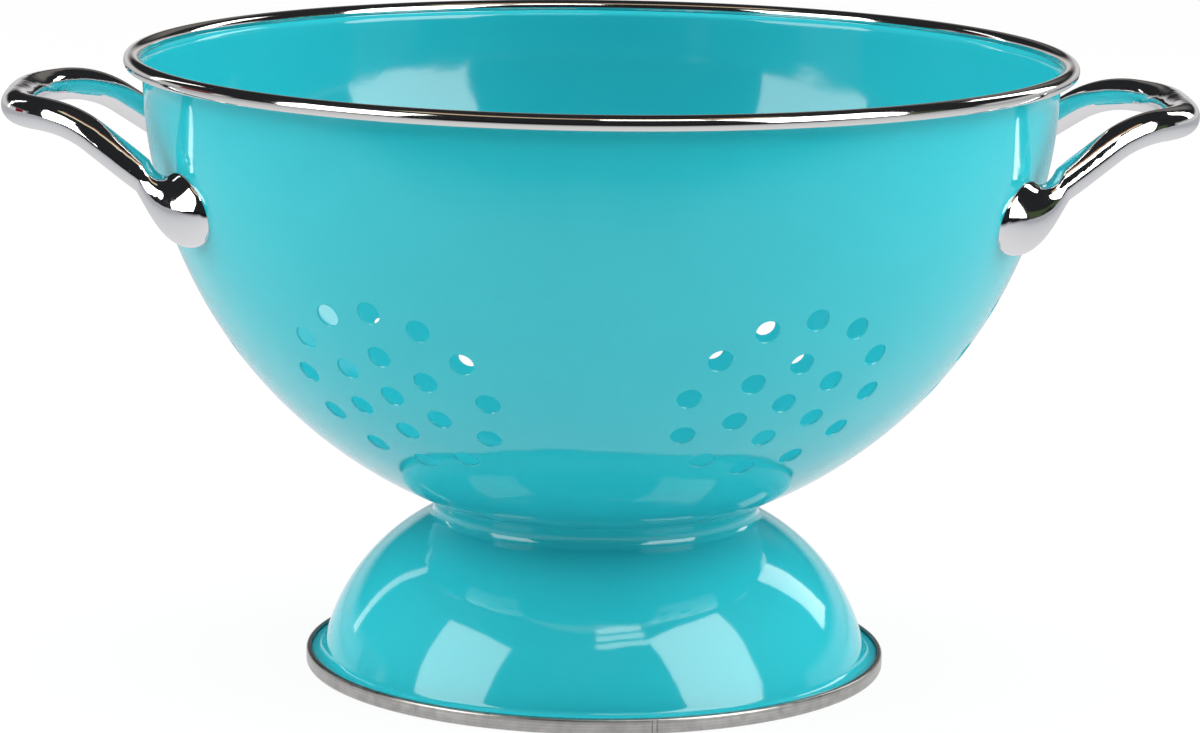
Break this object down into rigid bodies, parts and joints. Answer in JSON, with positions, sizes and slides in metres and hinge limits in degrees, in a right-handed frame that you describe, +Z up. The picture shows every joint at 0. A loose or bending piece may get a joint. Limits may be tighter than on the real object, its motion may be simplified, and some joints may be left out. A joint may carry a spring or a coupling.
{
  "type": "footed colander",
  "caption": "Deep round colander with clusters of drain holes, a rolled rim, a bell-shaped foot with a hoop round its base and a bow handle on each side.",
  "frame": {"origin": "centre of the circle that the foot stands on", "axes": "+Z up along the bowl's axis; +X from the left handle to the right handle; -Y towards the front of the picture"},
  "size_m": [0.3444, 0.275, 0.1806],
  "materials": {
    "turquoise_coat": "glossy turquoise coat on pressed steel",
    "polished_steel": "mirror-polished stainless sheet",
    "satin_steel": "satin stainless sheet",
    "chrome_plate": "bright chrome plate on a casting",
    "fastener_steel": "plain stainless screws and washers"
  },
  "bodies": {
    "root": {"bowl": "turquoise_coat", "rim_band": "polished_steel", "foot_skirt": "turquoise_coat", "foot_band": "satin_steel", "handle_right": "chrome_plate", "handle_left": "chrome_plate", "handle_screw_right_front": "fastener_steel", "handle_screw_right_back": "fastener_steel", "handle_screw_left_front": "fastener_steel", "handle_screw_left_back": "fastener_steel", "handle_washer_right_front": "fastener_steel", "handle_washer_right_back": "fastener_steel", "handle_washer_left_front": "fastener_steel", "handle_washer_left_back": "fastener_steel"}
  },
  "joints": []
}
